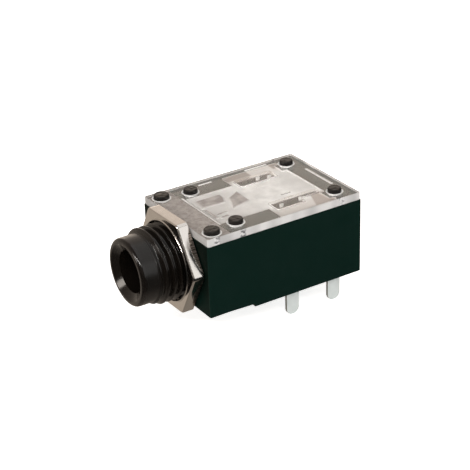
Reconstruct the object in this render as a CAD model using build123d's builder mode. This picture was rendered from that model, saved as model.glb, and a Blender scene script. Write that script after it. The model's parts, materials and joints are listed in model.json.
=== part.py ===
"""Quarter inch jack socket for a board and a panel: box body, clear lid, threaded nose, nut and contacts.

Frame: origin on the plug axis at the front face of the box, +X along the plug as it goes in, +Z up.
Lengths are millimetres, angles are degrees.
"""

import os
from math import cos, radians, tan

from build123d import *

# Box
body_width = 18.0
housing_height = 11.8
axis_height = 6.7  # plug axis above the board
corner_radius = 0.25
front_relief = 0.65  # how far the front of the underside is raised
front_relief_length = 7.5
side_wall = 0.9
front_wall = 4.7
rear_wall = 3.6
floor_thickness = 1.8
widening = 2.05  # from the front pins forward to where the cavity widens
arm_swing = 0.6  # room outside a spring's arm in the narrow part
rear_gap = 0.55  # from the middle of a rear pin to the rear wall

# Plug bore
bore_radius = 3.2
mouth_depth = 0.75
bore_exit_chamfer = 0.4

# Nose
nose_length = 8.4
collar_radius = 5.1
rim_width = 0.8  # from the collar to the flare of the mouth
rim_radius = 0.55
thread_radius = 5.75
thread_depth = 0.7
thread_pitch = 1.12
thread_start = 5.75  # ahead of the box
thread_relief = 0.15  # plain neck at the box
thread_crest = 0.2  # flat at the top of a ridge

# Staking posts, two of each: distance from an end of the box, distance from its side, radius
front_post_x = 1.95
front_post_inset = 2.0
front_post_radius = 1.18
second_post_x = 6.45
second_post_inset = 2.8
second_post_radius = 1.09
rear_post_x = 2.9  # from the rear
rear_post_inset = 2.75
rear_post_radius = 1.05
post_proud = 0.6  # above the lid
post_edge = 0.2
boss_length = 0.8  # of the rear wall's boss under a rear post
boss_margin = 0.2

# Lid
lid_thickness = 1.2
lid_inset = 0.2
lid_corner = 0.35
lid_edge = 0.15
lid_hole_clearance = 0.1
lid_hole_chamfer = 0.15
land_depth = 0.5  # land under the lid, inside the cavity
land_clearance = 0.15
window_start_margin = 1.0  # behind the start of the land's wide part
near_window_end_margin = 4.1  # ahead of the cavity's end
far_window_end_margin = 2.4
window_inner_margin = 0.4  # inward from the middle of a spring's arm
window_outer_margin = 1.7
window_radius = 0.3

# Nut
nut_across_flats = 14.0
nut_thickness = 1.8
nut_gap = 0.1  # to the front face of the box
nut_turn = -1.7
nut_corner_radius = 0.8
nut_edge = 0.12
nut_clearance = 0.04
nut_bore_chamfer = 0.26

# Contact strip
strip = 0.4
bend_radius = 0.7
bump_radius = 0.8
switch_bend_radius = 0.5

# Board pins
pin_width = 2.2
pin_length = 4.2  # below the board seat
front_pin = 14.95  # from the front of the box
pin_pitch = 7.5
sleeve_pin_lead = 3.75  # from the front pins forward to the sleeve pin
pin_wall_gap = 0.3  # between a pin and the side wall
sleeve_wall_gap = 0.5
slot_play = 0.1  # at each end of the slot of a sprung pin
swing_play = 0.25  # at each side of it, so that the contact can turn
fixed_slot_play = 0.05

# Where the contacts touch the plug
ring_bump_lead = 5.0  # from the front pins forward to the ring bump
tip_bump_lag = 2.55  # from the front pins back to the tip bump
sleeve_bump_lag = 1.6  # behind the front wall
spring_press = 0.75  # how far a spring's bump stands in from the bore's wall
sleeve_press = 0.25
switch_clearance = 0.35  # from the bore's wall out to a break contact
contact_gap = 0.05  # between a spring and its break contact

# Shapes of the contacts: angles of the flanks of their bumps, ends and heights
ring_angle = 30.0
tip_rear_angle = 45.0
tip_front_angle = 50.0
sleeve_angle = 24.0
tip_knee_step = 0.4  # from the arm's line out to the tip spring's knee
tip_touch_length = 1.4
lip_length = 1.8
sleeve_lip = 1.0
root_gap = 0.25  # straight strip ahead of a rear pin
root_run = 1.4  # length along X of the bend in from the wall
strip_headroom = 0.6  # under the lid's land
strip_bottom = -1.9
bump_height = 3.2
sleeve_top = 2.4
switch_top = 1.4
bridge_lead = 1.55  # from the front pins forward to the bridge under the spring's arm
bridge_clearance = 0.4
blade_margin = 0.4  # from the blade's end to the tip spring's flank

# Worked out from the sizes above: lengths along the plug
channel_end = front_pin - widening
rear_pin = front_pin + pin_pitch
cavity_end = rear_pin + rear_gap
body_length = cavity_end + rear_wall
sleeve_pin = front_pin - sleeve_pin_lead
bridge_x = front_pin - bridge_lead
ring_bump_x = front_pin - ring_bump_lead
tip_bump_x = front_pin + tip_bump_lag
sleeve_bump_x = front_wall + sleeve_bump_lag

# Distances from the axis to the side
spring_reach = bore_radius - spring_press
sleeve_reach = bore_radius - sleeve_press
blade_y = bore_radius + switch_clearance + strip / 2
arm_y = blade_y + strip + contact_gap
channel_half_width = arm_y + strip / 2 + arm_swing
cavity_half_width = body_width / 2 - side_wall
pin_row = cavity_half_width - pin_wall_gap - strip / 2
sleeve_row = channel_half_width - sleeve_wall_gap - strip / 2
mouth_radius = collar_radius - rim_width
thread_root_radius = thread_radius - thread_depth

# Heights
seat_z = -axis_height
top_z = seat_z + housing_height
lid_top_z = top_z + lid_thickness
floor_z = seat_z + floor_thickness
pin_tip_z = seat_z - pin_length
strip_top = top_z - land_depth - strip_headroom

posts = (
    (front_post_x, body_width / 2 - front_post_inset, front_post_radius),
    (second_post_x, body_width / 2 - second_post_inset, second_post_radius),
    (body_length - rear_post_x, body_width / 2 - rear_post_inset, rear_post_radius),
)
swing_slot = (pin_width + 2 * slot_play, strip + 2 * swing_play)
fixed_slot = (pin_width + 2 * fixed_slot_play, strip + 2 * fixed_slot_play)
sides = (-1, 1)  # near side, far side
near, far = sides

os.makedirs("parts", exist_ok=True)


def cavity_outline(clearance=0.0):
    """Plan of the cavity: a channel beside the plug, then a wide part with a boss under each rear post."""
    channel_size = (channel_end - front_wall, 2 * (channel_half_width - clearance))
    wide_size = (cavity_end - channel_end - 2 * clearance, 2 * (cavity_half_width - clearance))
    boss_start = body_width / 2 - rear_post_inset - rear_post_radius - boss_margin - clearance
    boss_width = pin_row - swing_slot[1] / 2 + clearance - boss_start
    with BuildSketch(mode=Mode.PRIVATE) as outline:
        with Locations((front_wall + clearance, 0)):
            Rectangle(*channel_size, align=(Align.MIN, Align.CENTER))
        with Locations((channel_end + clearance, 0)):
            Rectangle(*wide_size, align=(Align.MIN, Align.CENTER))
        for side in sides:
            with Locations((cavity_end, side * (boss_start + boss_width / 2))):
                Rectangle(2 * (boss_length + clearance), boss_width, mode=Mode.SUBTRACT)
    return outline.sketch


# Housing
with BuildPart() as housing:
    with BuildSketch(Plane.XZ) as box_side:
        with BuildLine():
            Polyline(
                (0, top_z),
                (body_length, top_z),
                (body_length, seat_z),
                (front_relief_length, seat_z),
                (front_relief_length, seat_z + front_relief),
                (0, seat_z + front_relief),
                close=True,
            )
        make_face()
    extrude(amount=body_width / 2, both=True)
    upright_edges = housing.edges().filter_by(Axis.Z)
    box_corners = upright_edges.group_by(Axis.X)[0] + upright_edges.group_by(Axis.X)[-1]
    fillet(box_corners, corner_radius)

    # Nose: collar, then ridges up to the box
    ridge_count = round((thread_start - thread_relief) / thread_pitch)
    with BuildSketch(Plane.XZ) as nose_side:
        with BuildLine():
            nose_points = [(0, 0), (0, thread_root_radius)]
            for ridge in range(ridge_count):
                foot = -thread_relief - ridge * thread_pitch
                nose_points += [
                    (foot, thread_root_radius),
                    (foot - thread_pitch / 2 + thread_crest / 2, thread_radius),
                    (foot - thread_pitch / 2 - thread_crest / 2, thread_radius),
                ]
            collar_start = -thread_relief - ridge_count * thread_pitch
            nose_points += [(collar_start, thread_root_radius), (collar_start, collar_radius)]
            nose_points += [(-nose_length, collar_radius), (-nose_length, 0)]
            Polyline(*nose_points, close=True)
        make_face()
    revolve(axis=Axis.X)
    rim = housing.edges().filter_by(GeomType.CIRCLE).group_by(Axis.X)[0]
    fillet(rim, rim_radius)

    # Plug bore with its flared mouth
    with BuildSketch(Plane.XZ) as bore_side:
        with BuildLine():
            Polyline(
                (-nose_length, 0),
                (-nose_length, mouth_radius),
                (-nose_length + mouth_depth, bore_radius),
                (front_wall - bore_exit_chamfer, bore_radius),
                (front_wall, bore_radius + bore_exit_chamfer),
                (front_wall + bore_exit_chamfer, bore_radius + bore_exit_chamfer),
                (front_wall + bore_exit_chamfer, 0),
                close=True,
            )
        make_face()
    revolve(axis=Axis.X, mode=Mode.SUBTRACT)

    # Cavity and the slots for the pins
    with BuildSketch(Plane.XY.offset(top_z)) as cavity:
        add(cavity_outline())
    extrude(amount=floor_z - top_z, mode=Mode.SUBTRACT)
    with BuildSketch(Plane.XY.offset(top_z)) as spring_slots:
        with Locations((rear_pin, near * pin_row), (rear_pin, far * pin_row), (sleeve_pin, far * sleeve_row)):
            Rectangle(*swing_slot)
    extrude(amount=seat_z - top_z, mode=Mode.SUBTRACT)
    with BuildSketch(Plane.XY.offset(floor_z)) as switch_slots:
        with Locations((front_pin, near * pin_row), (front_pin, far * pin_row)):
            Rectangle(*fixed_slot)
    extrude(amount=seat_z - floor_z, mode=Mode.SUBTRACT)

    # Posts that hold the lid
    for post_x, post_y, post_radius in posts:
        with BuildSketch(Plane.XY.offset(top_z)):
            with Locations((post_x, near * post_y), (post_x, far * post_y)):
                Circle(post_radius)
        extrude(amount=lid_thickness + post_proud)
    chamfer(housing.edges().filter_by(GeomType.CIRCLE).group_by(Axis.Z)[-1], post_edge)
housing.part.label = "housing"

# Lid
with BuildPart() as lid:
    with BuildSketch(Plane.XY.offset(top_z)) as plate:
        with Locations((body_length / 2, 0)):
            RectangleRounded(body_length - 2 * lid_inset, body_width - 2 * lid_inset, lid_corner)
    extrude(amount=lid_thickness)
    chamfer(lid.faces().sort_by(Axis.Z)[-1].outer_wire().edges(), lid_edge)
    window_start = channel_end + window_start_margin
    window_ends = (cavity_end - near_window_end_margin, cavity_end - far_window_end_margin)
    window_width = window_outer_margin + window_inner_margin
    window_y = arm_y + (window_outer_margin - window_inner_margin) / 2
    with BuildSketch(Plane.XY.offset(top_z)) as land:
        add(cavity_outline(land_clearance))
        for side, window_end in zip(sides, window_ends):
            with Locations(((window_start + window_end) / 2, side * window_y)):
                RectangleRounded(window_end - window_start, window_width, window_radius, mode=Mode.SUBTRACT)
    extrude(amount=-land_depth)
    for post_x, post_y, post_radius in posts:
        with BuildSketch(Plane.XY.offset(lid_top_z)):
            with Locations((post_x, near * post_y), (post_x, far * post_y)):
                Circle(post_radius + lid_hole_clearance)
        extrude(amount=-lid_thickness - land_depth, mode=Mode.SUBTRACT)
    lid_hole_edges = lid.edges().filter_by(GeomType.CIRCLE).filter_by_position(Axis.Z, lid_top_z, lid_top_z)
    chamfer(lid_hole_edges, lid_hole_chamfer)
lid.part.label = "lid"

# Nut
with BuildPart() as nut:
    with BuildSketch(Plane.YZ.offset(-nut_gap)) as hexagon:
        RegularPolygon(nut_across_flats / 2, 6, major_radius=False, rotation=nut_turn)
        fillet(hexagon.vertices(), nut_corner_radius)
        Circle(thread_radius + nut_clearance, mode=Mode.SUBTRACT)
    extrude(amount=-nut_thickness)
    nut_bore_edges = nut.edges().filter_by(GeomType.CIRCLE).sort_by(SortBy.RADIUS)[-2:]
    chamfer(nut_bore_edges, nut_bore_chamfer)
    chamfer([edge for face in nut.faces().filter_by(Axis.X) for edge in face.outer_wire().edges()], nut_edge)
nut.part.label = "nut"


def bump_corner(reach, rear_angle, front_angle):
    """Distance of a bump's sharp corner from the axis, so that its rounded inner face stands at reach."""
    mean_angle = radians((rear_angle + front_angle) / 2)
    lean_angle = radians((rear_angle - front_angle) / 2)
    return reach + strip / 2 - bump_radius * (cos(lean_angle) / cos(mean_angle) - 1)


def run_to(height, corner, angle):
    """Length along X of a flank at this angle, from a bump's corner out to a distance from the axis."""
    return (height - corner) / tan(radians(angle))


def stamping(label, side, plan_points, radii, blank_points, pin_place):
    """A strip bent along plan_points, seen from above, cut to blank_points, seen from the side, with its pin."""
    pin_x, pin_y = pin_place
    blank_bottom = min(z for x, z in blank_points)
    with BuildPart() as contact:
        with BuildSketch(Plane.XY.offset(blank_bottom)):
            with BuildLine():
                FilletPolyline(*[(x, side * y) for x, y in plan_points], radius=radii)
            trace(line_width=strip)
        extrude(amount=strip_top - blank_bottom)
        with BuildSketch(Plane.XZ):
            with BuildLine():
                Polyline(*blank_points, close=True)
            make_face()
        extrude(amount=body_width, both=True, mode=Mode.INTERSECT)
        with BuildSketch(Plane.XZ.offset(-side * pin_y)):
            with Locations((pin_x, pin_tip_z + pin_width / 2)):
                Circle(pin_width / 2)
                Rectangle(pin_width, strip_bottom - pin_tip_z - pin_width / 2, align=(Align.CENTER, Align.MIN))
        extrude(amount=strip / 2, both=True)
    contact.part.label = label
    return contact.part


# Ring spring: a long arm along the near side, with its bump near the front
spring_root = [(rear_pin + pin_width / 2, pin_row), (rear_pin - pin_width / 2 - root_gap, pin_row)]
ring_corner = bump_corner(spring_reach, ring_angle, ring_angle)
ring_flank_x = ring_bump_x + run_to(arm_y, ring_corner, ring_angle)
ring_end_x = ring_bump_x - lip_length
ring_plan = spring_root + [
    (rear_pin - pin_width / 2 - root_gap - root_run, arm_y),
    (ring_flank_x, arm_y),
    (ring_bump_x, ring_corner),
    (ring_end_x, ring_corner + lip_length * tan(radians(ring_angle))),
]
ring_neck_x = (ring_bump_x + ring_flank_x) / 2
ring_blank = [
    (rear_pin + pin_width / 2, strip_top),
    (rear_pin + pin_width / 2, strip_bottom),
    (ring_flank_x, strip_bottom),
    (ring_neck_x, -bump_height / 2),
    (ring_end_x - strip, -bump_height / 2),
    (ring_end_x - strip, bump_height / 2),
    (ring_neck_x, bump_height / 2),
    (ring_flank_x, strip_top),
]
ring_radii = [bend_radius, bend_radius, bend_radius, bump_radius]
ring_spring = stamping("ring_spring", near, ring_plan, ring_radii, ring_blank, (rear_pin, pin_row))

# Tip spring: a short arm on the far side, whose bump drops behind the plug's tip
tip_corner = bump_corner(spring_reach, tip_rear_angle, tip_front_angle)
tip_knee_y = arm_y + tip_knee_step
tip_touch_x = tip_bump_x - run_to(arm_y, tip_corner, tip_front_angle)
tip_end_x = tip_touch_x - tip_touch_length
tip_plan = spring_root + [
    (tip_bump_x + run_to(tip_knee_y, tip_corner, tip_rear_angle), tip_knee_y),
    (tip_bump_x, tip_corner),
    (tip_touch_x, arm_y),
    (tip_end_x, arm_y),
]
tip_blank = [
    (rear_pin + pin_width / 2, strip_top),
    (rear_pin + pin_width / 2, strip_bottom),
    (tip_end_x - strip, strip_bottom),
    (tip_end_x - strip, strip_top),
]
tip_radii = [bend_radius, bend_radius, bump_radius, bend_radius]
tip_spring = stamping("tip_spring", far, tip_plan, tip_radii, tip_blank, (rear_pin, pin_row))

# Break contacts: each stands at the wall, runs under the spring's arm and back up on its inner side
switch_plan = [
    (front_pin + pin_width / 2, pin_row),
    (bridge_x, pin_row),
    (bridge_x, blade_y),
    (tip_touch_x - blade_margin, blade_y),
]
bridge_top = strip_bottom - bridge_clearance
bridge_side = front_pin - pin_width / 2
switch_blank = [
    (front_pin + pin_width / 2, floor_z),
    (bridge_x - strip, floor_z),
    (bridge_x - strip, bridge_top),
    (bridge_side, bridge_top),
    (bridge_side, switch_top),
    (front_pin + pin_width / 2, switch_top),
]
switch_radii = [switch_bend_radius, switch_bend_radius]
ring_switch = stamping("ring_switch", near, switch_plan, switch_radii, switch_blank, (front_pin, pin_row))
tip_switch = stamping("tip_switch", far, switch_plan, switch_radii, switch_blank, (front_pin, pin_row))

# Sleeve contact, in the channel on the far side just behind the front wall
sleeve_corner = bump_corner(sleeve_reach, sleeve_angle, sleeve_angle)
sleeve_end_x = sleeve_bump_x - sleeve_lip
sleeve_plan = [
    (sleeve_pin + pin_width / 2, sleeve_row),
    (sleeve_bump_x + run_to(sleeve_row, sleeve_corner, sleeve_angle), sleeve_row),
    (sleeve_bump_x, sleeve_corner),
    (sleeve_end_x, sleeve_corner + sleeve_lip * tan(radians(sleeve_angle))),
]
sleeve_blank = [
    (sleeve_pin + pin_width / 2, sleeve_top),
    (sleeve_pin + pin_width / 2, strip_bottom),
    (sleeve_end_x - strip, strip_bottom),
    (sleeve_end_x - strip, sleeve_top),
]
sleeve_radii = [bend_radius, bump_radius]
sleeve_contact = stamping("sleeve_contact", far, sleeve_plan, sleeve_radii, sleeve_blank, (sleeve_pin, sleeve_row))

for piece in (housing.part, lid.part, nut.part, ring_spring, ring_switch, tip_spring, tip_switch, sleeve_contact):
    export_step(piece, f"parts/{piece.label}.step")
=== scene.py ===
"""Looks of the quarter inch jack socket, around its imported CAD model, in a plain pale studio.

Everything is in metres in the row frame: the origin is on the plug axis at the front face of the box,
+X runs along the plug as it goes in, +Z is up, and the side at -Y is the near one, which the photograph
shows. Colours are linear.
"""

import json
import math

import bmesh
import bpy
from mathutils import Matrix, Vector, geometry, noise


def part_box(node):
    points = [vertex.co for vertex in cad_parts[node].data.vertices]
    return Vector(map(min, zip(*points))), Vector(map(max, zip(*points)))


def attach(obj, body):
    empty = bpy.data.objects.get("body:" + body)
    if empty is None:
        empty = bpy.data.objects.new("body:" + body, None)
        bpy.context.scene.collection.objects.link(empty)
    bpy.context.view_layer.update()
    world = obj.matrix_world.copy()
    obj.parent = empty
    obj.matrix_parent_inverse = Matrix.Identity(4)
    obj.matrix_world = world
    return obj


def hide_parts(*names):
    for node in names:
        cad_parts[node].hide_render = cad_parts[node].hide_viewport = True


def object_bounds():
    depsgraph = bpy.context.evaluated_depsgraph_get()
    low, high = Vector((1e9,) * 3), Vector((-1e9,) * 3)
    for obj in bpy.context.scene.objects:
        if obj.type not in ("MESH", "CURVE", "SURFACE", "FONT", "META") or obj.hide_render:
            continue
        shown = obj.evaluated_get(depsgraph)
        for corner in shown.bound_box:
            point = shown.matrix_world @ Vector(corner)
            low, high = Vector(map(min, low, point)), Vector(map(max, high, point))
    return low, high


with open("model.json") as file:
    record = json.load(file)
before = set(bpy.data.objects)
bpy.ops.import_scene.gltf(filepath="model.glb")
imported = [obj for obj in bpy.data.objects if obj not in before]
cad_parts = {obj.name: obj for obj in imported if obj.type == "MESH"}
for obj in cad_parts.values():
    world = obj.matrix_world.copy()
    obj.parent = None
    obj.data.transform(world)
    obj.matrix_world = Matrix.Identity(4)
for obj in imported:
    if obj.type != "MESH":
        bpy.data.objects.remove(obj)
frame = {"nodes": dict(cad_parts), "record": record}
cad_low, cad_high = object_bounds()
MM = 0.001

housing_low, housing_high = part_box("housing")
lid_low, lid_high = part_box("lid")
nut_low, nut_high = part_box("nut")
plug_bore = next(mount for mount in frame["record"]["mounts"] if mount["name"] == "plug_bore")

# Nose, as in the CAD source
BORE_RADIUS = plug_bore["dims"]["r_mm"] * MM
NOSE_FRONT = housing_low.x
MOUTH_RADIUS = 4.3 * MM
MOUTH_DEPTH = 0.75 * MM
MOUTH_ROUNDING = 0.12 * MM
COLLAR_RADIUS = 5.1 * MM
COLLAR_STEP = 0.04 * MM  # length of the steps at both ends of the collar
RIM_RADIUS = 0.55 * MM
THREAD_RADIUS = 5.75 * MM
THREAD_ROOT = 5.05 * MM
THREAD_PITCH = 1.12 * MM
THREAD_START = 5.75 * MM  # ahead of the box
THREAD_RUNOUT = (-0.3 * MM, -0.1 * MM)
NOSE_SEAT = 0.02 * MM  # how far the nose runs into the box
NOSE_STEPS = 132

# One turn's profile of the thread: share of the pitch, height from root to crest
THREAD_PROFILE = (
    (0.0, 0.0), (0.11, 0.0), (0.14, 0.03), (0.17, 0.10), (0.28, 0.50), (0.38, 0.90), (0.41, 0.975), (0.44, 1.0),
    (0.56, 1.0), (0.59, 0.975), (0.62, 0.90), (0.72, 0.50), (0.83, 0.10), (0.86, 0.03), (0.89, 0.0))

# Box
BOX_EDGE = 0.14 * MM  # rounding of its long edges
BOX_EDGE_LENGTH = 5 * MM  # those that are rounded are longer than this
BOX_EDGE_ANGLE = 1.2  # and turn by more than this, in radians
BOX_CUT = 0.01 * MM  # how far ahead of the box the CAD nose is cut off
POST_CUT = 0.004 * MM  # how far above the lid's seat the CAD posts are cut off
FLATNESS = 0.001 * MM  # vertices this close to a face lie on it

# Staking posts, as in the CAD source: place along X, distance from the middle plane, radius
LID_SEAT = lid_high.z - 1.2 * MM
POSTS = ((1.95 * MM, 7.0 * MM, 1.18 * MM), (6.45 * MM, 6.2 * MM, 1.09 * MM),
         (housing_high.x - 2.9 * MM, 6.25 * MM, 1.05 * MM))
POST_EDGE = 0.2 * MM
POST_DOME = 0.03 * MM  # how far the middle of a head stands above its edge
POST_ROOT = 0.3 * MM  # how far a shaft goes down into the box
POST_PLAY = 0.05 * MM  # a shaft is this much thinner than its staked head
POST_TAPER = 0.02 * MM  # a head is this much thinner at its foot and at its edge
POST_FOOT = (0.02 * MM, 0.06 * MM)  # heights above the lid where the shaft ends and the head starts
POST_RINGS = (0.7, 0.58, 0.46, 0.34, 0.22, 0.1)  # rings of points on the top, as shares of the radius
POST_WEAR = 0.07 * MM  # depth of the pits that the staking tool leaves
POST_PITS = 0.55 * MM  # their size
POST_STEPS = 40

# Lid, as in the CAD source
LID_AIR = 0.02 * MM  # between the plate and the box
LID_SPREAD = 0.1 * MM  # beyond the CAD plate, still inside the box's sides
LID_CORNER = 0.25 * MM
LID_EDGE = 0.09 * MM
LID_FOOT = 0.04 * MM  # chamfer under the plate's edge
HOLE_PLAY = 0.03 * MM
HOLE_RIM = 0.23 * MM  # mean width of the whitened rim that the staking leaves
HOLE_DIP = 0.05 * MM
RIM_SHIFT = Vector((-0.53, -0.85)) * 0.17 * MM
PAINTED_HOLE_VIEWS = (1.6 * MM, 5.9 * MM, 23.1 * MM)  # painted views of the holes on the trimmed long edges
LAND_START = 4.85 * MM
LAND_STEP = 13.05 * MM  # where it widens
LAND_END = housing_high.x - 3.75 * MM
LAND_NARROW, LAND_WIDE = 4.85 * MM, 7.95 * MM  # half widths
LAND_CORNER = 0.2 * MM
BOSS_START = LAND_END - 0.8 * MM
BOSS_INNER, BOSS_OUTER = 4.85 * MM, 7.3 * MM
WINDOW_START = 13.9 * MM
NEAR_WINDOW_END = housing_high.x - 7.7 * MM
FAR_WINDOW_END = housing_high.x - 6.0 * MM
WINDOW_INNER, WINDOW_OUTER = 3.8 * MM, 5.9 * MM
WINDOW_CORNER = 0.3 * MM

# Small relief under the lid, in millimetres
PIP_SIZE = (0.62, 0.32)
NEAR_PIPS = ((15.0, -4.85), (18.6, -4.5))
FAR_PIPS = ((17.4, 5.0), (19.2, 4.5))
RECESSES = (((5.2, 0.9), (9.2, 0.9), (9.9, 2.4), (9.9, 3.7), (5.2, 3.7)),
            ((8.9, -1.6), (12.4, -0.7), (12.6, 3.2), (10.4, 1.9)),
            ((5.2, -3.0), (5.6, -3.0), (5.5, 0.5), (5.2, 0.5)),
            ((5.9, -2.2), (7.7, -2.1), (7.7, -1.8), (5.9, -1.9)),
            ((5.9, -3.3), (7.3, -3.2), (7.3, -2.9), (5.9, -3.0)))
RECESS_MOUTH, RECESS_FLOOR = 1.05, 0.80  # shares of a recess's outline
FROSTED_BAR = ((15.7, 19.3, 2.2, 3.1), 0.12, 0.1)  # place, depth, corner radius
CLEAR_BAR = ((17.3, 18.9, -1.9, -1.65), 0.2, 0.08)
GROOVES = (((25.2, 25.6, -3.4, 3.4), 0.16), ((17.4, 21.4, 8.2, 8.5), 0.16), ((8.9, 11.2, 7.8, 8.12), 0.16),
           ((4.46, 4.70, -5.0, 5.6), 0.10))  # place, depth
STRIP = (0.35, 4.3, -8.55, 8.55)  # frosted strip across the front, round the front posts
STRIP_DEPTH = 0.05 * MM
GROOVE_CORNER = 0.1 * MM
ISLAND_CORNER = 0.12 * MM

# Nut, as in the CAD source
NUT_ACROSS_FLATS = 14.0 * MM
NUT_CORNER = 0.8 * MM
NUT_TURN = math.radians(-1.7)
NUT_BORE = 5.79 * MM
NUT_CHAMFER = 0.26 * MM
NUT_DIE_ROLL = 0.22 * MM
NUT_ROLL_DEPTH = 0.30 * MM
NUT_GROOVE = 0.22 * MM
NUT_GROOVE_END = 0.4 * MM  # over which the grooves fade out at both faces
NUT_BURR = 0.06 * MM
NUT_LIP = 0.11 * MM  # radius of the bead that the tap leaves round the bore
NUT_STEPS = 360
NUT_BORE_ROWS = 24

CLEAR, FROSTED, TRIMMED = range(3)  # the lid's finishes
NOISE_SPREAD = (0.3, 0.7)  # nearly all of a noise lies in here
NOISE_CORE = (0.35, 0.65)  # most of it
SMOOTH_ANGLE = 35  # degrees, sharper edges are shaded sharp
WELD = 1e-7


class Nodes:
    """Builds nodes in one tree. A value is a number, a colour, a vector or the output of another node."""

    def __init__(self, tree):
        self.tree = tree

    def feed(self, socket, value):
        """Links the value to the socket, or sets it there."""
        if isinstance(value, bpy.types.NodeSocket):
            self.tree.links.new(value, socket)
        else:
            socket.default_value = (*value, 1) if socket.type == "RGBA" else value

    def add(self, kind, inputs=None, **settings):
        """A node of that kind. inputs maps its sockets, by name or number, to values."""
        node = self.tree.nodes.new(kind)
        for key, value in settings.items():
            setattr(node, key, value)
        for key, value in (inputs or {}).items():
            self.feed(node.inputs[key], value)
        return node

    def math(self, operation, *values):
        return self.add("ShaderNodeMath", dict(enumerate(values)), operation=operation).outputs[0]

    def product(self, first, *others):
        for other in others:
            first = self.math("MULTIPLY", first, other)
        return first

    def inverse(self, value):
        return self.math("SUBTRACT", 1.0, value)

    def length(self, first, second):
        """The root of the sum of two squares."""
        squares = [self.product(value, value) for value in (first, second)]
        return self.math("SQRT", self.math("ADD", *squares))

    def mix(self, factor, first, second):
        """A mix of two colours."""
        return self.add("ShaderNodeMix", {0: factor, 6: first, 7: second}, data_type="RGBA").outputs[2]

    def ramp(self, value, start, end, low=0.0, high=1.0, smooth=False):
        """The value mapped from start..end to low..high, and held at those outside."""
        kind = "SMOOTHSTEP" if smooth else "LINEAR"
        inputs = {0: value, 1: start, 2: end, 3: low, 4: high}
        return self.add("ShaderNodeMapRange", inputs, interpolation_type=kind).outputs[0]

    def fall(self, value, start, end):
        return self.ramp(value, start, end, 1.0, 0.0)


class Finish(Nodes):
    """A new material with its shader."""

    def __init__(self, name):
        self.material = bpy.data.materials.new(name)
        self.material.use_nodes = True
        super().__init__(self.material.node_tree)
        self.shader = self.tree.nodes["Principled BSDF"]

    def locate(self):
        """The outputs x, y and z of the place on the piece."""
        self.place = self.add("ShaderNodeTexCoord").outputs["Object"]
        return self.add("ShaderNodeSeparateXYZ", {0: self.place}).outputs

    def noise(self, size, detail=3.0, roughness=0.55, stretch=None):
        """Noise with features of that size, drawn out along the axes where stretch is under 1."""
        place = self.place
        if stretch:
            place = self.add("ShaderNodeMapping", {"Vector": place, "Scale": stretch}).outputs[0]
        inputs = {"Vector": place, "Scale": 1 / size, "Detail": detail, "Roughness": roughness}
        return self.add("ShaderNodeTexNoise", inputs).outputs["Fac"]

    def look(self, inputs):
        """Feeds the shader's sockets."""
        for name, value in inputs.items():
            self.feed(self.shader.inputs[name], value)

    def bump(self, height, depth):
        """Bumps of that depth, from a height of 0 to 1."""
        node = self.add("ShaderNodeBump", {"Height": height, "Distance": depth, "Strength": 1.0})
        self.look({"Normal": node.outputs[0]})

    def pass_lamps(self, share):
        """Lets that share of the lamps' light through, so that what is behind the clear plastic is lit."""
        passing = self.add("ShaderNodeBsdfTransparent", {"Color": (share, share, share)})
        shadow_ray = self.add("ShaderNodeLightPath").outputs["Is Shadow Ray"]
        mix = self.add("ShaderNodeMixShader", {0: shadow_ray, 1: self.shader.outputs[0], 2: passing.outputs[0]})
        self.feed(self.tree.nodes["Material Output"].inputs["Surface"], mix.outputs[0])


# Finishes
def moulded_plastic(name, dark, light, gloss, shine, part=None):
    """Dark moulding: faint flow mottling, a fine satin grain and gloss that varies a little."""
    finish = Finish(name)
    x, y, z = finish.locate()
    mottling = finish.noise(2.6 * MM, detail=0.5)
    colour = finish.mix(mottling, dark, light)
    roughness = finish.ramp(mottling, *NOISE_SPREAD, *gloss)
    height = finish.noise(0.11 * MM, detail=2.0)
    if part == "front":
        # Painted shade of the nut: the front turns darker upwards, from z = -4.6 mm to -1.4 mm, beside the nut
        painted_nut_shade = finish.ramp(z, -4.6 * MM, -1.4 * MM, smooth=True)
        colour = finish.mix(painted_nut_shade, colour, (0.0014, 0.0042, 0.0030))
    elif part == "nose":
        # The collar is less polished than its rim, the mouth and the thread
        on_thread = finish.ramp(x, 0.3 * MM - THREAD_START, 0.7 * MM - THREAD_START)
        in_mouth = finish.fall(finish.length(y, z), 4.5 * MM, 4.7 * MM)
        satin = finish.ramp(x, NOSE_FRONT + 0.3 * MM, NOSE_FRONT + 0.9 * MM, high=0.20)
        satin = finish.product(satin, finish.inverse(finish.math("MAXIMUM", on_thread, in_mouth)))
        roughness = finish.math("ADD", roughness, satin)
    elif part == "posts":
        # The staking tool leaves the tops pitted, with paler flecks
        on_top = finish.ramp(z, lid_high.z + 0.42 * MM, lid_high.z + 0.56 * MM)
        flecks = finish.ramp(finish.noise(0.5 * MM, detail=2.0), 0.5, 0.7)
        colour = finish.mix(finish.product(flecks, on_top), colour, (0.034, 0.027, 0.020))
        pitted = finish.noise(0.45 * MM, detail=2.0)
        height = finish.math("ADD", height, finish.product(pitted, on_top, 8.0))
    finish.look({"Base Color": colour, "Roughness": roughness, "IOR": 1.5, "Specular IOR Level": shine})
    finish.bump(height, 0.0025 * MM)
    return finish.material


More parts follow.
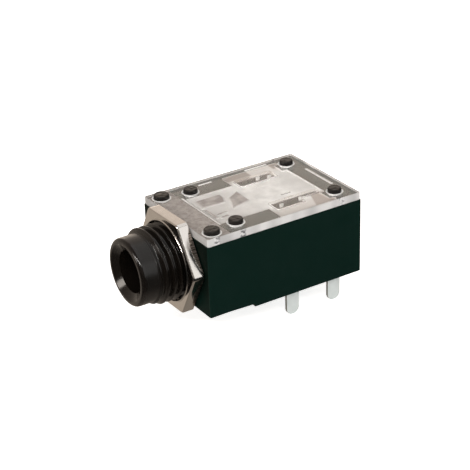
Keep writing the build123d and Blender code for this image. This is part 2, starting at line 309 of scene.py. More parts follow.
def nickel():
    """Nickel plate on a blanked nut: satin faces, and flats that are burnished in front and torn behind."""
    finish = Finish("nickel_plate")
    x, y, z = finish.locate()
    clouds = finish.noise(1.4 * MM)
    fine = finish.noise(0.16 * MM, detail=2.0)
    streaks = finish.noise(0.13 * MM, roughness=0.7, stretch=(0.12, 1.0, 1.0))
    radius = finish.length(y, z)

    # The torn part of a flat starts behind a wandering line, which lies further back at a corner
    wander = finish.product(finish.math("SUBTRACT", finish.noise(1.1 * MM), 0.5), 0.5 * MM)
    depth = finish.math("ADD", x, wander)
    depth = finish.math("SUBTRACT", depth, finish.math("SUBTRACT", radius, NUT_ACROSS_FLATS / 2))
    on_flat = finish.product(finish.ramp(radius, 6.75 * MM, 6.85 * MM), finish.fall(z, 6.3 * MM, 6.8 * MM))
    torn = finish.product(finish.ramp(depth, -0.98 * MM, -0.86 * MM), on_flat)

    plated = finish.mix(clouds, (0.555, 0.53, 0.50), (0.635, 0.61, 0.58))
    broken = finish.mix(finish.ramp(streaks, *NOISE_CORE), (0.05, 0.038, 0.028), (0.48, 0.42, 0.365))
    roughness = finish.ramp(clouds, *NOISE_SPREAD, 0.12, 0.19)
    roughness = finish.math("ADD", roughness, finish.product(torn, 0.22))
    finish.look({"Base Color": finish.mix(torn, plated, broken), "Metallic": 1.0, "Roughness": roughness})
    finish.bump(finish.math("ADD", fine, finish.product(streaks, torn, 4.0)), 0.004 * MM)
    return finish.material


def tinned_strip():
    """Dull tin plate on rolled strip, with faint upright lines, bare cut edges and a darker hue inside the box.
    """
    finish = Finish("tinned_strip")
    x, y, z = finish.locate()
    lines = finish.noise(0.09 * MM, detail=2.0, stretch=(1.0, 1.0, 0.06))
    clouds = finish.noise(1.1 * MM)
    plated = finish.mix(clouds, (0.60, 0.645, 0.635), (0.72, 0.765, 0.755))
    # A darker, browner colour above the bottom of the box
    inside_hue = finish.mix(clouds, (0.30, 0.25, 0.20), (0.44, 0.37, 0.30))
    inside = finish.ramp(z, housing_low.z + 0.6 * MM, housing_low.z + 1.4 * MM)
    plated = finish.mix(inside, plated, inside_hue)

    normal = finish.add("ShaderNodeTexCoord").outputs["Normal"]
    across = finish.math("ABSOLUTE", finish.add("ShaderNodeSeparateXYZ", {0: normal}).outputs[1])
    on_pin = finish.fall(z, housing_low.z - 0.2 * MM, housing_low.z + 1.0 * MM)
    cut_edge = finish.product(finish.fall(across, 0.35, 0.6), on_pin)
    colour = finish.mix(cut_edge, plated, (0.10, 0.085, 0.065))
    roughness = finish.ramp(lines, *NOISE_SPREAD, 0.42, 0.54)
    finish.look({"Base Color": colour, "Metallic": 0.35, "Roughness": roughness})
    finish.bump(lines, 0.004 * MM)
    return finish.material


def clear_plastic():
    """Clear moulding, polished on top, a little hazy on the underside, with faint scuffs."""
    finish = Finish("clear_plastic")
    x, y, z = finish.locate()
    scuffs = finish.noise(0.9 * MM, detail=4.0, roughness=0.7)

    # Haze of the underside: more over the front wall and over the wide part of the land
    underside = finish.fall(z, LID_SEAT + 0.05 * MM, LID_SEAT + 0.25 * MM)
    haze = finish.ramp(x, 4.2 * MM, 4.8 * MM, 0.14, 0.03)
    over_land = finish.ramp(finish.math("ABSOLUTE", y), 6.0 * MM, 6.1 * MM, 0.10, 0.0)
    over_land = finish.product(over_land, finish.ramp(x, 13.6 * MM, 13.7 * MM),
                               finish.fall(x, 22.0 * MM, 22.2 * MM))
    haze = finish.product(underside, finish.math("ADD", haze, over_land))

    roughness = finish.math("ADD", finish.ramp(scuffs, 0.45, 0.8, 0.02, 0.10), haze)
    finish.look({"Base Color": (0.975, 0.965, 0.957), "Transmission Weight": 1.0, "IOR": 1.58,
                 "Roughness": roughness})
    finish.bump(finish.noise(3.5 * MM, detail=1.0), 0.004 * MM)
    finish.pass_lamps(0.9)
    return finish.material


def frosted_plastic(name, transmission):
    """The same moulding where the tool was eroded, the staking has whitened it or the edge was trimmed."""
    finish = Finish(name)
    x, y, z = finish.locate()
    across = finish.math("ABSOLUTE", y)

    def spots(size, detail, **settings):
        """Patches of that size, from 0 to 1."""
        return finish.ramp(finish.noise(size, detail=detail, **settings), *NOISE_CORE)

    # The land is below the plate's seat, what is cut up from it is raised
    raised = finish.ramp(z, LID_SEAT - 0.1 * MM, LID_SEAT - 0.02 * MM)
    on_land = finish.inverse(raised)
    border = finish.product(finish.ramp(across, 5.0 * MM, 6.2 * MM, smooth=True), on_land)
    pale = finish.product(finish.ramp(x, 17.3 * MM, 17.6 * MM), finish.fall(x, 21.4 * MM, 21.7 * MM))
    far_border = finish.product(finish.ramp(y, 6.3 * MM, 6.8 * MM), on_land, finish.inverse(pale))
    slant = finish.math("SUBTRACT", x, finish.product(y, 0.39))
    near_corner = finish.product(finish.ramp(slant, 22.3 * MM, 22.5 * MM), finish.fall(y, -4.6 * MM, -4.2 * MM),
                                 on_land)
    recesses = finish.product(finish.ramp(z, lid_low.z + 0.15 * MM, LID_SEAT - 0.02 * MM),
                              finish.fall(across, 4.2 * MM, 4.4 * MM), finish.ramp(x, 4.98 * MM, 5.02 * MM),
                              finish.fall(x, 22.0 * MM, 22.2 * MM))
    strip = finish.product(raised, finish.fall(x, 4.3 * MM, 4.4 * MM))
    hole_rims = finish.product(finish.ramp(across, 4.9 * MM, 5.0 * MM),
                               finish.ramp(z, LID_SEAT + 0.1 * MM, LID_SEAT + 0.2 * MM))
    front_edge = finish.fall(x, 0.3 * MM, 0.4 * MM)
    rear_edge = finish.ramp(x, housing_high.x - 0.4 * MM, housing_high.x - 0.3 * MM)
    edges = finish.math("MAXIMUM", finish.ramp(across, 8.6 * MM, 8.7 * MM), rear_edge)
    # Painted view of the holes, as if seen through the trimmed long edges: blurred dark and light patches
    # beside each hole
    painted_hole_views = 0.0
    for hole_x in PAINTED_HOLE_VIEWS:
        off_hole = finish.math("ABSOLUTE", finish.math("SUBTRACT", x, hole_x))
        painted_hole_views = finish.math("MAXIMUM", painted_hole_views, finish.fall(off_hole, 0.30 * MM, 0.60 * MM))
    glint = finish.product(edges, finish.fall(x, 1.05 * MM, 1.15 * MM))

    # Milky land, greyer towards its ends
    colour = finish.mix(spots(2.2 * MM, 3.0), (0.62, 0.625, 0.62), (0.82, 0.825, 0.82))
    off_middle = finish.math("ABSOLUTE", finish.math("SUBTRACT", x, 16 * MM))
    colour = finish.mix(finish.ramp(off_middle, 2.5 * MM, 6.5 * MM, 0.0, 0.6), colour, (0.50, 0.495, 0.49))
    mottled = finish.mix(spots(1.5 * MM, 1.0), (0.20, 0.18, 0.175), (0.38, 0.35, 0.34))
    flecked = finish.mix(spots(0.6 * MM, 4.0, roughness=0.7), (0.16, 0.14, 0.13), (0.36, 0.33, 0.315))
    streaked = finish.mix(spots(2.4 * MM, 1.0, stretch=(1.0, 1.0, 0.1)), (0.36, 0.355, 0.355),
                          (0.52, 0.515, 0.51))
    blurred = finish.ramp(finish.noise(0.5 * MM, detail=1.0), 0.42, 0.58)
    blurred = finish.mix(blurred, (0.10, 0.10, 0.105), (0.55, 0.55, 0.55))
    for zone, over in ((border, (0.62, 0.60, 0.58)), (far_border, (0.30, 0.26, 0.235)),
                       (near_corner, (0.38, 0.335, 0.31)), (recesses, mottled), (strip, flecked),
                       (hole_rims, (0.95, 0.95, 0.945)), (front_edge, (0.30, 0.295, 0.29)), (edges, streaked),
                       (finish.product(edges, painted_hole_views), blurred), (glint, (0.46, 0.46, 0.46))):
        colour = finish.mix(zone, colour, over)

    grain = finish.noise(0.12 * MM, detail=2.0)
    finish.look({"Base Color": colour, "Roughness": finish.ramp(grain, *NOISE_SPREAD, 0.45, 0.6),
                 "Transmission Weight": transmission, "IOR": 1.58})
    finish.bump(grain, 0.006 * MM)
    finish.pass_lamps(0.3)
    return finish.material


# Meshes
def mesh_piece(name, vertices, faces, finishes=None, weld=False):
    """A new mesh object with its faces outwards."""
    mesh = bpy.data.meshes.new(name)
    mesh.from_pydata(vertices, [], faces)
    if weld:
        solid = bmesh.new()
        solid.from_mesh(mesh)
        bmesh.ops.remove_doubles(solid, verts=solid.verts, dist=WELD)
        bmesh.ops.dissolve_degenerate(solid, edges=solid.edges, dist=WELD)
        solid.to_mesh(mesh)
        solid.free()
    if finishes:
        mesh.polygons.foreach_set("material_index", finishes)
    mesh.update()
    return linked(name, mesh)


def linked(name, mesh):
    """The mesh as a shaded object in the scene."""
    piece = bpy.data.objects.new(name, mesh)
    bpy.context.scene.collection.objects.link(piece)
    shade(piece)
    return piece


def shade(piece):
    """Smooth shading, with sharp edges where faces meet at a large angle."""
    mesh = piece.data
    solid = bmesh.new()
    solid.from_mesh(mesh)
    bmesh.ops.recalc_face_normals(solid, faces=solid.faces)
    for face in solid.faces:
        face.smooth = True
    limit = math.radians(SMOOTH_ANGLE)
    for edge in solid.edges:
        edge.smooth = len(edge.link_faces) == 2 and edge.calc_face_angle(0) < limit
    solid.to_mesh(mesh)
    solid.free()


def turns(sweep, count):
    """The angles that divide a sweep into count steps."""
    return [sweep * i / count for i in range(count + 1)]


def round_x(x, radius, step, steps):
    """A point on a circle round the X axis."""
    angle = 2 * math.pi * step / steps
    return x, radius * math.cos(angle), radius * math.sin(angle)


def bridge(first, second, steps, closed=True):
    """The quads between two rows of points, given by the numbers of their first points."""
    quads = []
    for step in range(steps):
        after = (step + 1) % steps if closed else step + 1
        quads.append((first + step, first + after, second + after, second + step))
    return quads


def smooth_step(value, low, high):
    share = min(max((value - low) / (high - low), 0), 1)
    return share * share * (3 - 2 * share)


def make_nose():
    """The nose with a true right-hand thread that runs out at both ends."""
    steps = NOSE_STEPS
    vertices, faces = [], []

    # Thread: rows follow the helix, so each ends one turn further on than it began
    front, back = -THREAD_START, NOSE_SEAT
    pitches = math.ceil((back - front) / THREAD_PITCH) + 2
    rows = [(pitch + share, height) for pitch in range(pitches) for share, height in THREAD_PROFILE]
    for share, height in rows:
        for step in range(steps + 1):
            x = front + THREAD_PITCH * (share - 1 + step / steps)
            fade = smooth_step(x, front, front + 0.5 * THREAD_PITCH) * (1 - smooth_step(x, *THREAD_RUNOUT))
            radius = THREAD_ROOT + (THREAD_RADIUS - THREAD_ROOT) * height * fade
            vertices.append(round_x(min(max(x, front), back), radius, step, steps))
    for i in range(len(rows) - 1):
        faces += bridge(i * (steps + 1), (i + 1) * (steps + 1), steps, closed=False)

    # Neck, collar, rounded rim, flared mouth and bore
    rows = [(front, THREAD_ROOT), (front - COLLAR_STEP, COLLAR_RADIUS),
            (NOSE_FRONT + RIM_RADIUS + COLLAR_STEP, COLLAR_RADIUS)]
    for turn in turns(math.pi / 2, 8):
        rows.append((NOSE_FRONT + RIM_RADIUS * (1 - math.sin(turn)),
                     COLLAR_RADIUS - RIM_RADIUS * (1 - math.cos(turn))))
    cone = math.atan2(MOUTH_DEPTH, MOUTH_RADIUS - BORE_RADIUS)
    rounded_radius = MOUTH_RADIUS + MOUTH_ROUNDING * math.tan(cone / 2)
    for turn in turns(cone, 4):
        rows.append((NOSE_FRONT + MOUTH_ROUNDING * (1 - math.cos(turn)),
                     rounded_radius - MOUTH_ROUNDING * math.sin(turn)))
    rows += [(NOSE_FRONT + 0.9 * MOUTH_DEPTH, BORE_RADIUS + 0.1 * (MOUTH_RADIUS - BORE_RADIUS)),
             (NOSE_FRONT + MOUTH_DEPTH, BORE_RADIUS), (NOSE_SEAT, BORE_RADIUS), (back, THREAD_ROOT)]
    start = len(vertices)
    vertices += [round_x(x, radius, step, steps) for x, radius in rows for step in range(steps)]
    for i in range(len(rows) - 1):
        faces += bridge(start + i * steps, start + (i + 1) * steps, steps)
    return mesh_piece("nose", vertices, faces, weld=True)


def make_box():
    """The CAD housing without its nose and posts, with its long edges softened and painted shade on its front.
    """
    mesh = frame["nodes"]["housing"].data.copy()
    mesh.name = "box_shell"
    mesh.materials.clear()
    solid = bmesh.new()
    solid.from_mesh(mesh)
    bmesh.ops.remove_doubles(solid, verts=solid.verts, dist=WELD)
    for point, normal in (((-BOX_CUT, 0, 0), (-1, 0, 0)), ((0, 0, LID_SEAT + POST_CUT), (0, 0, 1))):
        bmesh.ops.bisect_plane(solid, geom=solid.verts[:] + solid.edges[:] + solid.faces[:],
                               plane_co=point, plane_no=normal, clear_outer=True)
    bmesh.ops.dissolve_limit(solid, angle_limit=math.radians(0.5), verts=solid.verts, edges=solid.edges)

    side = housing_high.y
    long_edges = [edge for edge in solid.edges
                  if len(edge.link_faces) == 2 and edge.calc_face_angle(0) > BOX_EDGE_ANGLE
                  and edge.calc_length() > BOX_EDGE_LENGTH
                  and all(abs(abs(vert.co.y) - side) < FLATNESS for vert in edge.verts)]
    bmesh.ops.bevel(solid, geom=long_edges, offset=BOX_EDGE, offset_type="OFFSET", segments=3, profile=0.5,
                    affect="EDGES")
    for vert in solid.verts:
        vert.co.y = min(max(vert.co.y, -side), side)
    # The front faces take the second material, a darker copy that paints shade on them
    for face in solid.faces:
        face.material_index = int(all(vert.co.x < FLATNESS for vert in face.verts))
    solid.to_mesh(mesh)
    solid.free()
    return linked("box_shell", mesh)


def make_posts():
    """The six staked heads, slightly swollen, with worn and pitted tops, on shafts down into the box."""
    low, high = lid_high.z, housing_high.z
    height = high - low
    shaft_end, head_start = POST_FOOT
    vertices, faces = [], []
    for place_x, place_y, radius in POSTS:
        shaft, lip = radius - POST_PLAY, radius - POST_TAPER
        side_rows = [(LID_SEAT - POST_ROOT, shaft), (low + shaft_end, shaft), (low + head_start, lip),
                     (low + 0.3 * height, radius), (low + 0.6 * height, radius - 0.015 * MM)]
        side_rows += [(high - POST_EDGE * (1 - math.sin(turn)) - POST_DOME,
                       lip - POST_EDGE * (1 - math.cos(turn))) for turn in turns(math.pi / 2, 5)]
        top_rows = [(high - POST_DOME * share, share * radius) for share in POST_RINGS]
        rows = side_rows + top_rows
        for side in (-1, 1):
            start = len(vertices)
            for row, (row_z, row_radius) in enumerate(rows):
                for step in range(POST_STEPS):
                    angle = 2 * math.pi * step / POST_STEPS
                    x = place_x + row_radius * math.cos(angle)
                    y = side * place_y + row_radius * math.sin(angle)
                    wear = post_wear(x, y) if row >= len(side_rows) else 0
                    vertices.append((x, y, row_z - wear))
            for i in range(len(rows) - 1):
                faces += bridge(start + i * POST_STEPS, start + (i + 1) * POST_STEPS, POST_STEPS)
            last = start + (len(rows) - 1) * POST_STEPS
            faces.append(tuple(start + step for step in reversed(range(POST_STEPS))))
            faces.append(tuple(last + step for step in range(POST_STEPS)))
    return mesh_piece("posts", vertices, faces)


def post_wear(x, y):
    """Depth of the pits in a post's top: large ones with finer ones in them."""
    large = noise.noise(Vector((x, y, 0)) / POST_PITS)
    fine = 0.5 * noise.noise(Vector((x, y, 1)) * 2.3 / POST_PITS)
    return POST_WEAR * min(max(large + fine + 0.35, 0), 1)


def rectangle(x0, x1, y0, y1):
    return [(x0, y0), (x1, y0), (x1, y1), (x0, y1)]


def in_metres(points):
    return [(x * MM, y * MM) for x, y in points]


def circle_loop(x, y, radius, steps=40):
    angles = [2 * math.pi * i / steps for i in range(steps)]
    return [Vector((x + radius * math.cos(angle), y + radius * math.sin(angle))) for angle in angles]


def rounded_loop(corners, radius, inset=0.0, steps=4):
    """Outline through right-angled corners, counter-clockwise, moved in by inset, with rounded corners."""
    points = []
    count = len(corners)
    for i, corner in enumerate(corners):
        here = Vector(corner)
        way_in = (here - Vector(corners[i - 1])).normalized()
        way_out = (Vector(corners[(i + 1) % count]) - here).normalized()
        inward_in, inward_out = Vector((-way_in.y, way_in.x)), Vector((-way_out.y, way_out.x))
        side = 1 if way_in.x * way_out.y - way_in.y * way_out.x > 0 else -1
        centre = here + (inward_in + inward_out) * side * radius
        own = radius - side * inset
        for turn in turns(math.pi / 2, steps):
            points.append(centre - (inward_in * math.cos(turn) + inward_out * math.sin(turn)) * side * own)
    return points


class Shell:
    """Collects the loops of points and the faces of a mesh with several finishes."""

    def __init__(self):
        self.vertices, self.faces, self.finishes = [], [], []

    def level(self, points, z):
        """A loop of points at one height, as their numbers."""
        start = len(self.vertices)
        self.vertices.extend((point.x, point.y, z) for point in points)
        return list(range(start, len(self.vertices)))

    def wall(self, first, second, finish):
        """The quads between two loops."""
        count = len(first)
        for i in range(count):
            after = (i + 1) % count
            self.faces.append((first[i], first[after], second[after], second[i]))
            self.finishes.append(finish)

    def cap(self, loops, finish):
        """A flat face with its outline first and then its holes."""
        order = [i for loop in loops for i in loop]
        outlines = [[Vector(self.vertices[i]) for i in loop] for loop in loops]
        for triangle in geometry.tessellate_polygon(outlines):
            self.faces.append(tuple(order[i] for i in triangle))
            self.finishes.append(finish)

    def recess(self, corners, low, floor):
        """A frosted recess up from low to floor through any corners in millimetres. Returns its mouth."""
        corners = [Vector(corner) * MM for corner in corners]
        middle = sum(corners, Vector((0, 0))) / len(corners)
        mouth, base = (self.level([middle + (corner - middle) * share for corner in corners], z)
                       for share, z in ((RECESS_MOUTH, low), (RECESS_FLOOR, floor)))
        self.wall(mouth, base, FROSTED)
        self.cap([base], FROSTED)
        return mouth

    def pocket(self, corners, low, floor, finish, radius, islands=(), holes=()):
        """A recess up from low to floor, with frosted islands down to low, round holes. Returns its mouth."""
        lead = min(0.05 * MM, (floor - low) / 2)
        mouth, neck, base = (self.level(rounded_loop(corners, radius, inset), z)
                             for inset, z in ((-lead, low), (0.0, low + lead), (0.8 * lead, floor)))
        self.wall(mouth, neck, finish)
        self.wall(neck, base, finish)
        loops = [base, *holes]
        for island in islands:
            root, end = (self.level(rounded_loop(island, ISLAND_CORNER, inset), z)
                         for inset, z in ((-0.03 * MM, floor), (0.05 * MM, low)))
            self.wall(root, end, FROSTED)
            self.cap([end], FROSTED)
            loops.append(root)
        self.cap(loops, finish)
        return mouth


def pips(places):
    length, width = PIP_SIZE
    return [in_metres(rectangle(x, x + length, y, y + width)) for x, y in places]


def make_lid():
    """The clear lid: a plate with dips round its post holes, and on its underside a frosted land with windows,
    recesses and pips, a frosted strip across the front and a few shallow grooves."""
    shell = Shell()
    seat, top, low = LID_SEAT + LID_AIR, lid_high.z, lid_low.z

    # Plate: trimmed edge, rounded into the polished top
    plate = rectangle(lid_low.x - LID_SPREAD, lid_high.x + LID_SPREAD,
                      lid_low.y - LID_SPREAD, lid_high.y + LID_SPREAD)
    rows = [(LID_FOOT, seat), (0.0, seat + LID_FOOT), (0.0, top - LID_EDGE)]
    rows += [(LID_EDGE * (1 - math.cos(turn)), top - LID_EDGE * (1 - math.sin(turn)))
             for turn in turns(math.pi / 2, 4)[1:]]
    rows.append((LID_EDGE + 0.06 * MM, top))
    edge = [shell.level(rounded_loop(plate, LID_CORNER, inset), z) for inset, z in rows]
    for first, second in zip(edge[:-1], edge[1:-1]):
        shell.wall(first, second, TRIMMED)
    shell.wall(edge[-2], edge[-1], CLEAR)

    # Holes: each in a dip with a whitened rim. Those of the front posts end in the frosted strip
    top_holes, seat_holes, strip_holes = [], [], []
    strip_floor = seat + STRIP_DEPTH
    for place_x, place_y, radius in POSTS:
        in_strip = place_x < LAND_START
        for side in (-1, 1):
            hole = radius + HOLE_PLAY
            rim = [shell.level(circle_loop(place_x + shift * RIM_SHIFT.x, side * place_y + shift * RIM_SHIFT.y,
                                           hole + out), z)
                   for out, z, shift in ((HOLE_RIM + 0.07 * MM, top, 1), (HOLE_RIM + 0.02 * MM, top, 1),
                                         (HOLE_RIM, top - 0.01 * MM, 1), (0.03 * MM, top - HOLE_DIP, 0),
                                         (0.0, top - HOLE_DIP - 0.03 * MM, 0),
                                         (0.0, strip_floor if in_strip else seat, 0))]
            for i, (first, second) in enumerate(zip(rim, rim[1:])):
                shell.wall(first, second, FROSTED if i > 1 else CLEAR)
            top_holes.append(rim[0])
            (strip_holes if in_strip else seat_holes).append(rim[-1])
    shell.cap([edge[-1]] + top_holes, CLEAR)

    # Land, round the bosses under the rear posts
    land = [(LAND_START, -LAND_NARROW), (LAND_STEP, -LAND_NARROW), (LAND_STEP, -LAND_WIDE),
            (LAND_END, -LAND_WIDE), (LAND_END, -BOSS_OUTER), (BOSS_START, -BOSS_OUTER),
            (BOSS_START, -BOSS_INNER), (LAND_END, -BOSS_INNER)]
    land += [(x, -y) for x, y in reversed(land)]
    land_rows = [shell.level(rounded_loop(land, LAND_CORNER, inset), z)
                 for inset, z in ((-0.08 * MM, seat), (0.0, seat - 0.08 * MM), (0.02 * MM, low + 0.1 * MM),
                                  (0.1 * MM, low))]
    for first, second in zip(land_rows, land_rows[1:]):
        shell.wall(first, second, FROSTED)

    # Windows, recesses and bars in the land
    leg, leg_end = 0.7 * MM, LAND_END - 0.5 * MM
    near_window = [(WINDOW_START, -WINDOW_OUTER), (NEAR_WINDOW_END, -WINDOW_OUTER),
                   (NEAR_WINDOW_END, -WINDOW_INNER - leg), (leg_end, -WINDOW_INNER - leg),
                   (leg_end, -WINDOW_INNER + leg), (WINDOW_START, -WINDOW_INNER + leg)]
    far_window = rectangle(WINDOW_START, FAR_WINDOW_END, WINDOW_INNER, WINDOW_OUTER + 0.35 * MM)
    mouths = [shell.pocket(near_window, low, seat, CLEAR, WINDOW_CORNER, islands=pips(NEAR_PIPS)),
              shell.pocket(far_window, low, seat, CLEAR, WINDOW_CORNER, islands=pips(FAR_PIPS))]
    mouths += [shell.recess(corners, low, LID_SEAT) for corners in RECESSES]
    for (place, depth, corner), finish in ((FROSTED_BAR, FROSTED), (CLEAR_BAR, CLEAR)):
        mouths.append(shell.pocket(in_metres(rectangle(*place)), low, low + depth * MM, finish, corner * MM))
    shell.cap([land_rows[-1]] + mouths, FROSTED)

    # Grooves in the plate, of which the last is the strip round the front holes
    grooves = [shell.pocket(in_metres(rectangle(*place)), seat, seat + depth * MM, FROSTED, GROOVE_CORNER)
               for place, depth in GROOVES]
    grooves.append(shell.pocket(in_metres(rectangle(*STRIP)), seat, strip_floor, FROSTED, GROOVE_CORNER,
                                holes=strip_holes))
    shell.cap([edge[0], land_rows[0]] + seat_holes + grooves, CLEAR)
    return mesh_piece("clear_lid", shell.vertices, shell.faces, finishes=shell.finishes)


def hexagon_radius(angle, inset):
    """Radius of the nut's rounded outline at an angle, with its flats moved in by inset."""
    sector = math.pi / 3
    local = (angle - NUT_TURN - math.pi / 6 + sector / 2) % sector - sector / 2
    flat = NUT_ACROSS_FLATS / 2 - inset
    rounding = max(NUT_CORNER - inset, 0.05 * MM)
    to_corner = flat / math.cos(sector / 2) - rounding / math.cos(sector / 2)
    edge_angle = math.atan2(to_corner * math.sin(sector / 2), flat)
    if abs(local) <= edge_angle:
        return flat / math.cos(local)
    off = sector / 2 - abs(local)
    return to_corner * math.cos(off) + math.sqrt(max(rounding ** 2 - (to_corner * math.sin(off)) ** 2, 0))


def make_nut():
    """The blanked hexagon nut: bead round the bore, rolled front edge, slight burr behind, tapped bore."""
    front, back = nut_low.x, nut_high.x
    inner = NUT_BORE + NUT_CHAMFER

    # Each row is a function from an angle round the X axis to a place along X and a radius
    def outline(x, inset):
        return lambda angle: (x, hexagon_radius(angle, inset))

    def ring(x, radius):
        return lambda angle: (x, radius)

    def groove(x):
        def row(angle):
            ends = (smooth_step(x, front, front + NUT_GROOVE_END)
                    * (1 - smooth_step(x, back - NUT_GROOVE_END, back)))
            off_crest = abs((x / THREAD_PITCH - angle / (2 * math.pi)) % 1 - 0.5)
            return x, NUT_BORE + NUT_GROOVE * (1 - smooth_step(off_crest, 0.1, 0.4)) * ends
        return row

    def halfway(angle):
        return front, inner + (hexagon_radius(angle, NUT_DIE_ROLL) - inner) * 0.5

    rows = [ring(front - NUT_LIP * math.sin(turn), inner + NUT_LIP * (1 - math.cos(turn)))
            for turn in turns(math.pi, 8)]
    rows += [ring(front, inner + 2 * NUT_LIP + 0.03 * MM), halfway]
    rows += [outline(front + NUT_ROLL_DEPTH * (1 - math.cos(turn)), NUT_DIE_ROLL * (1 - math.sin(turn)))
             for turn in turns(math.pi / 2, 8)]
    rows += [outline(back - 1.0 * MM, 0), outline(back - NUT_BURR, 0), outline(back, NUT_BURR),
             ring(back, inner)]
    rows += [groove(back - NUT_CHAMFER + (front - back + 2 * NUT_CHAMFER) * i / NUT_BORE_ROWS)
             for i in range(NUT_BORE_ROWS + 1)]

    vertices, faces = [], []
    for row in rows:
        for step in range(NUT_STEPS):
            x, radius = row(2 * math.pi * step / NUT_STEPS)
            vertices.append(round_x(x, radius, step, NUT_STEPS))
    for i in range(len(rows)):
        faces += bridge(i * NUT_STEPS, (i + 1) % len(rows) * NUT_STEPS, NUT_STEPS)
    return mesh_piece("hex_nut", vertices, faces)


# Pieces: new mesh, the CAD node that it replaces, body, slot, materials
box_plastic = moulded_plastic("housing_plastic", (0.0016, 0.0098, 0.0072), (0.0019, 0.0112, 0.0083),
                              gloss=(0.29, 0.35), shine=0.12)
# Darker, less shiny copy of the box plastic for the front faces, which paints the shade that the nut casts
# there
front_painted_shade = moulded_plastic("front_painted_shade", (0.0010, 0.0058, 0.0043), (0.0013, 0.0072, 0.0053),
                                gloss=(0.29, 0.35), shine=0.02, part="front")
nose_plastic = moulded_plastic("nose_plastic", (0.0032, 0.0026, 0.0021), (0.0060, 0.0047, 0.0037),
                               gloss=(0.11, 0.16), shine=0.36, part="nose")
post_plastic = moulded_plastic("post_plastic", (0.0046, 0.0040, 0.0034), (0.0090, 0.0076, 0.0064),
                               gloss=(0.29, 0.38), shine=0.25, part="posts")
lid_materials = [clear_plastic(), frosted_plastic("frosted_plastic", transmission=0.2),
                 frosted_plastic("trimmed_plastic", transmission=0.12)]
for piece, node, body, slot, materials in (
        (make_nose(), "housing", "box", "housing_plastic", [nose_plastic]),
        (make_box(), "housing", "box", "housing_plastic", [box_plastic, front_painted_shade]),
        (make_posts(), "housing", "box", "housing_plastic", [post_plastic]),
        (make_lid(), "lid", "box", "clear_plastic", lid_materials),
        (make_nut(), "nut", "nut", "nickel_plate", [nickel()])):
    for material in materials:
        piece.data.materials.append(material)
    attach(piece, body)
    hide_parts(node)

tin = tinned_strip()
for name in ("ring_spring", "ring_switch", "tip_spring", "tip_switch", "sleeve_contact"):
    contact = frame["nodes"][name]
    contact.data.materials.clear()
    contact.data.materials.append(tin)
    shade(contact)

# Camera, at the photograph's place and angle
VIEW_TARGET = Vector((10.10, 0.0, 0.51)) * MM
VIEW_DISTANCE = 202.2 * MM
VIEW_AZIMUTH = math.radians(-31.92)
VIEW_ELEVATION = math.radians(26.89)
VIEW_ROLL = math.radians(-2.0)


def turned(location, right, up, backward):
    """The placing of a camera or a light that looks away from backward."""
    return Matrix.Translation(location) @ Matrix((right, up, backward)).transposed().to_4x4()


camera_data = bpy.data.cameras.new("camera")
camera_data.lens = 104.71
camera_data.sensor_width = 36.0
camera_data.clip_start, camera_data.clip_end = 0.01, 20.0
camera = bpy.data.objects.new("camera", camera_data)
bpy.context.scene.collection.objects.link(camera)
bpy.context.scene.camera = camera
backward = Vector((math.sin(VIEW_AZIMUTH) * math.cos(VIEW_ELEVATION),
                   -math.cos(VIEW_AZIMUTH) * math.cos(VIEW_ELEVATION),
                   math.sin(VIEW_ELEVATION)))
level_right = Vector((math.cos(VIEW_AZIMUTH), math.sin(VIEW_AZIMUTH), 0))
level_up = backward.cross(level_right)
right = level_right * math.cos(VIEW_ROLL) + level_up * math.sin(VIEW_ROLL)
up = level_up * math.cos(VIEW_ROLL) - level_right * math.sin(VIEW_ROLL)
camera.matrix_world = turned(VIEW_TARGET + backward * VIEW_DISTANCE, right, up, backward)

# Floor, which glows a little so that it stays white under the part
FLOOR_SIZE = 3.0
half, floor_z = FLOOR_SIZE / 2, cad_low.z
floor_mesh = bpy.data.meshes.new("floor")
floor_mesh.from_pydata([(x, y, floor_z) for x, y in rectangle(-half, half, -half, half)], [], [(0, 1, 2, 3)])
floor = bpy.data.objects.new("floor", floor_mesh)
bpy.context.scene.collection.objects.link(floor)
floor_finish = Finish("floor")
floor_finish.look({"Base Color": (0.9, 0.9, 0.9), "Roughness": 0.9, "Emission Color": (1, 1, 1),
                   "Emission Strength": 0.8})
floor_mesh.materials.append(floor_finish.material)
floor.visible_glossy = False


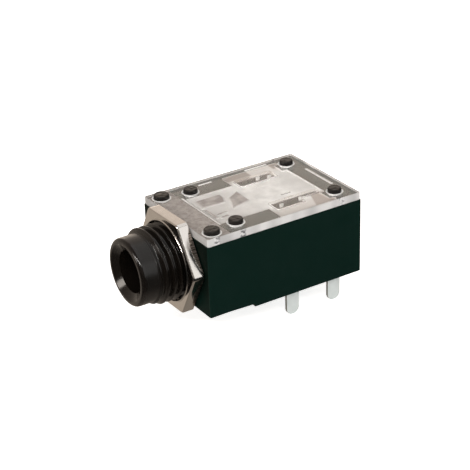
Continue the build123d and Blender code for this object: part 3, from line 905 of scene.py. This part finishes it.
# Light
def softbox(name, direction, distance, size, radiance, colour=(1, 1, 1), length=None, along=(0, 0, 1)):
    """A light of that radiance, turned towards the object: square, or with its long side along that way."""
    data = bpy.data.lights.new(name, "AREA")
    data.shape = "RECTANGLE"
    data.size, data.size_y = size, length or size
    data.color = colour
    data.energy = radiance * math.pi * data.size * data.size_y
    light = bpy.data.objects.new(name, data)
    bpy.context.scene.collection.objects.link(light)
    way = Vector(direction).normalized()
    across = Vector(along).cross(way).normalized()
    light.matrix_world = turned(VIEW_TARGET + way * distance, across, way.cross(across), way)


softbox("key", (0.47, -0.79, 0.34), 0.35, 0.26, 1.15)
softbox("back", (0.47, 0.757, 0.45), 0.40, 0.44, 0.38, (1.0, 0.89, 0.81))
softbox("top", (0.25, -0.12, 0.96), 0.40, 0.26, 0.95, length=0.5, along=(0, 1, 0.12))
softbox("front", (-0.95, 0.19, 0.22), 0.35, 0.09, 10.5, (1.0, 0.92, 0.84))
softbox("strip", (-0.564, -0.468, 0.682), 0.459, 0.018, 60.0, (1.0, 0.97, 0.94), length=0.58,
        along=(0.87, -1.24, 0.315))

# World: dark in front, warm and lighter behind, with a bright patch low behind the far side
world = bpy.data.worlds.new("studio")
bpy.context.scene.world = world
world.use_nodes = True
sky = Nodes(world.node_tree)
direction = sky.add("ShaderNodeTexCoord").outputs["Generated"]
way_x, way_y, way_z = sky.add("ShaderNodeSeparateXYZ", {0: direction}).outputs
behind = sky.ramp(way_y, 0.1, 0.7, smooth=True)
ground = sky.mix(behind, (0.02, 0.02, 0.02), (0.57, 0.49, 0.41))
below = sky.ramp(way_z, -0.85, -0.70, 1.0, 0.0, smooth=True)
ground = sky.mix(below, ground, (0.30, 0.26, 0.22))
ceiling = sky.mix(behind, (0.21, 0.19, 0.17), (0.53, 0.45, 0.38))
light = sky.mix(sky.ramp(way_z, -0.15, 0.35, smooth=True), ground, ceiling)
towards = sky.add("ShaderNodeVectorMath", {0: direction, 1: (0.405, 0.914, 0.0)}, operation="DOT_PRODUCT")
patch = sky.ramp(towards.outputs["Value"], 0.93, 0.985, smooth=True)
light = sky.mix(patch, light, (1.40, 1.20, 1.0))
sky.feed(world.node_tree.nodes["Background"].inputs["Color"], light)

bpy.context.scene.view_settings.view_transform = "Standard"
light_paths = bpy.context.scene.cycles  # enough for light that runs inside the clear lid
light_paths.max_bounces, light_paths.glossy_bounces, light_paths.transmission_bounces = 20, 12, 16
